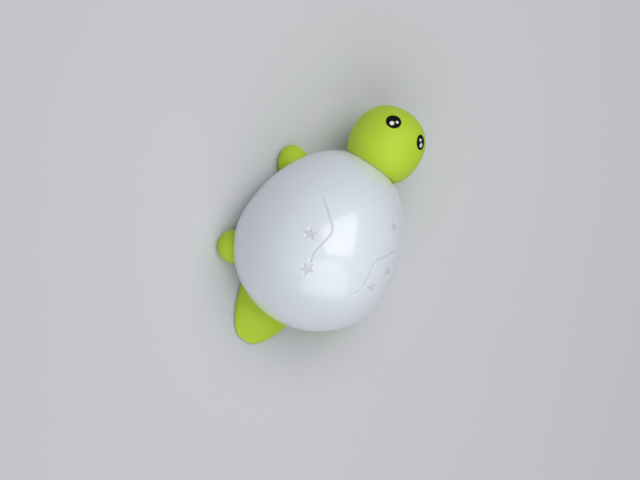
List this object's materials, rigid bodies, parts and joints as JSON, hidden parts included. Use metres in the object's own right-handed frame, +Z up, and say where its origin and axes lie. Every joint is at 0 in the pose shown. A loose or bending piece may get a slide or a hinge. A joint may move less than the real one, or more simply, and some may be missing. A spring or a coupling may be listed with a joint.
{
  "type": "turtle night light",
  "caption": "Turtle-shaped night light with a white egg-shaped lamp shell, lime head, feet and tail, and controls, speaker and battery door under its belly.",
  "frame": {"origin": "on the table, under the middle of the turtle's overall length and width", "axes": "+X to the head, +Y to the turtle's left, +Z up"},
  "size_m": [0.1816, 0.1088, 0.0874],
  "materials": {
    "shell_white": "glossy milk-white, translucent",
    "lime": "satin lime green",
    "button_lime": "satin lime green",
    "eye_black": "polished black",
    "glint_white": "white inlay",
    "pad_rubber": "matte dark grey rubber",
    "screw_steel": "zinc plated",
    "cell_jacket": "plain foil jacket",
    "contact_metal": "nickel plated",
    "nut_brass": "turned",
    "speaker_metal": "black pressed steel",
    "magnet_metal": "bare ferrite",
    "cone_paper": "black paper",
    "board_green": "green solder mask",
    "board_white": "white solder mask",
    "switch_black": "moulded black",
    "slider_black": "moulded black",
    "inner_white": "matte white",
    "emitter_cream": "cast resin over a white package"
  },
  "bodies": {
    "turtle": {"shell_dome": "shell_white", "lower_shell": "shell_white", "head": "lime", "neck_ring": "inner_white", "neck_screws": "screw_steel", "left_eye": "eye_black", "right_eye": "eye_black", "eye_glints": "glint_white", "front_left_foot": "lime", "front_right_foot": "lime", "rear_left_foot": "lime", "rear_right_foot": "lime", "foot_pads": "pad_rubber", "case_screws": "screw_steel", "tail": "lime", "tail_screws": "screw_steel", "battery_cells": "cell_jacket", "contact_plates": "contact_metal", "contact_springs": "contact_metal", "door_nut": "nut_brass", "speaker_frame": "speaker_metal", "speaker_cone": "cone_paper", "speaker_magnet": "magnet_metal", "speaker_clamp": "inner_white", "speaker_screws": "screw_steel", "main_board": "board_green", "board_screws": "screw_steel", "button_switches": "switch_black", "slide_switch": "contact_metal", "wireless_module": "contact_metal", "board_chips": "switch_black", "board_capacitor": "cell_jacket", "reflector": "inner_white", "reflector_screws": "screw_steel", "light_board": "board_white", "light_board_screws": "screw_steel", "light_emitters": "emitter_cream"},
    "battery_door": {"battery_door": "shell_white", "battery_door_screw": "screw_steel"},
    "light_button": {"light_button": "button_lime"},
    "music_button": {"music_button": "button_lime"},
    "timer_button": {"timer_button": "button_lime"},
    "power_slider": {"power_slider": "slider_black"}
  },
  "joints": [
    {"name": "battery_door_hinge", "type": "hinge", "parent": "turtle", "child": "battery_door", "pos_m": [-0.051, 0, 0.007], "axis": [0, 1, 0], "range_deg": [0, 75]},
    {"name": "light_button_press", "type": "slide", "parent": "turtle", "child": "light_button", "axis": [0, 0, 1], "range_m": [0, 0.0009], "stiffness_N_per_m": 1500, "springref_m": -0.0003},
    {"name": "music_button_press", "type": "slide", "parent": "turtle", "child": "music_button", "axis": [0, 0, 1], "range_m": [0, 0.0009], "stiffness_N_per_m": 1500, "springref_m": -0.0003},
    {"name": "timer_button_press", "type": "slide", "parent": "turtle", "child": "timer_button", "axis": [0, 0, 1], "range_m": [0, 0.0009], "stiffness_N_per_m": 1500, "springref_m": -0.0003},
    {"name": "power_slide", "type": "slide", "parent": "turtle", "child": "power_slider", "axis": [1, 0, 0], "range_m": [0, 0.003]}
  ]
}
